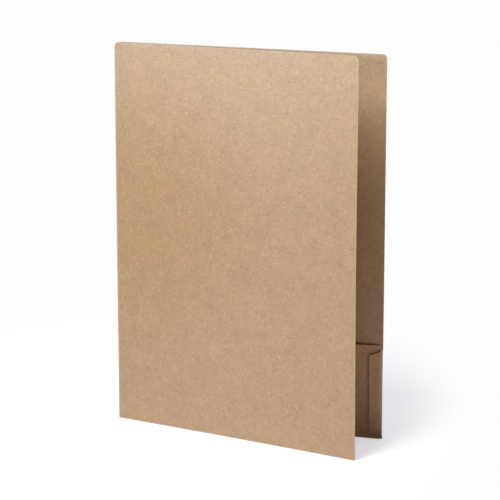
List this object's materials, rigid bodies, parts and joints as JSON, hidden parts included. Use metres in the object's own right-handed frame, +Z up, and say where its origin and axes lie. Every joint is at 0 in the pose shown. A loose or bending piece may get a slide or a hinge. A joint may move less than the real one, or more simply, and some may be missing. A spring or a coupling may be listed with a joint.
{
  "type": "file folder",
  "caption": "Half-open kraft card folder for A4 sheets, with a narrow spine between two creases, an inside bottom pocket and a fold-over side tab.",
  "frame": {"origin": "middle of the footprint of the half-open folder, on the surface that it stands on", "axes": "+Z up along the spine; the back cover lies in the XZ plane and faces out towards +Y; the spine is towards -X; the front cover opens towards -Y"},
  "size_m": [0.2212, 0.0606, 0.31],
  "materials": {
    "kraft_card": "matt uncoated recycled kraft board with fine fibres and specks",
    "kraft_crease": "matt uncoated kraft board, slightly paler where the fibres are stretched at a fold"
  },
  "bodies": {
    "back": {"back_cover": "kraft_card", "spine_rear_crease": "kraft_crease", "pocket_crease": "kraft_crease", "pocket_panel": "kraft_card", "side_tab_crease": "kraft_crease"},
    "spine": {"spine": "kraft_card", "spine_front_crease": "kraft_crease"},
    "front": {"front_cover": "kraft_card"},
    "tab": {"side_tab": "kraft_card"}
  },
  "joints": [
    {"name": "spine_rear_fold", "type": "hinge", "parent": "back", "child": "spine", "pos_m": [-0.10937, 0.02951, 0.155], "axis": [0, 0, -1], "range_deg": [-7.25, 82.75], "deforming": ["spine_rear_crease"]},
    {"name": "spine_front_fold", "type": "hinge", "parent": "spine", "child": "front", "pos_m": [-0.10988, 0.02555, 0.155], "axis": [0, 0, -1], "range_deg": [-7.25, 82.75], "deforming": ["spine_front_crease"]},
    {"name": "side_tab_fold", "type": "hinge", "parent": "back", "child": "tab", "pos_m": [0.10899, 0.02863, 0.0375], "axis": [0, 0, 1], "range_deg": [0, 180], "deforming": ["side_tab_crease"]}
  ],
  "couplings": [
    {"joint": "spine_front_fold", "follows": "spine_rear_fold", "ratio": 1}
  ]
}
